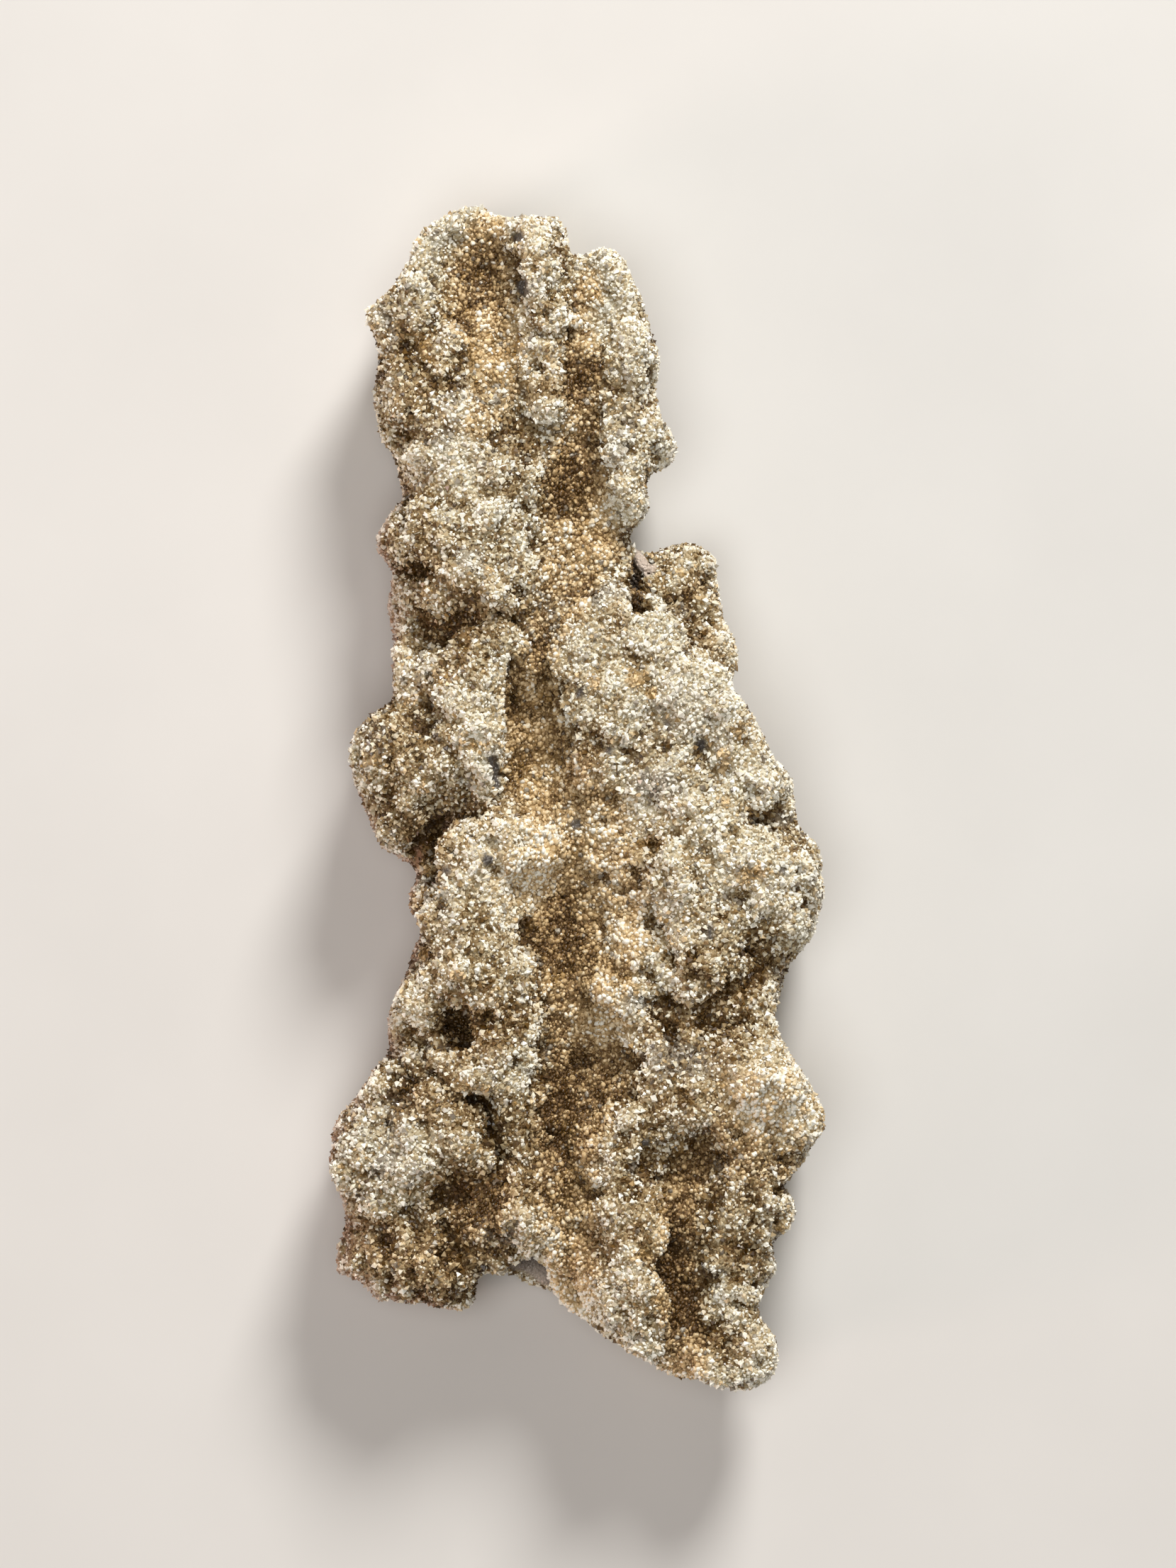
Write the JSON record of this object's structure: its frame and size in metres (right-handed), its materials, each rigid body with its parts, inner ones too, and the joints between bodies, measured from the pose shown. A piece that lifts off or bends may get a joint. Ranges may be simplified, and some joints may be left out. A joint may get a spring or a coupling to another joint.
{
  "type": "fulgurite",
  "caption": "Piece of natural fulgurite: a flattened, lumpy tube of sand melted by lightning, broken at both ends, with a short stub of a side branch.",
  "frame": {"origin": "under the middle of the outline, on the plane that the piece rests on", "axes": "+Y along the tube towards its narrower end, +Z up through its thickness, +X to the right when it is seen from above with +Y up"},
  "size_m": [0.0234, 0.056, 0.0098],
  "materials": {
    "fused_sand": "rough crust of pale sand grains welded by grey glass, matt with small glints"
  },
  "bodies": {
    "root": {"fulgurite": "fused_sand"}
  },
  "joints": []
}
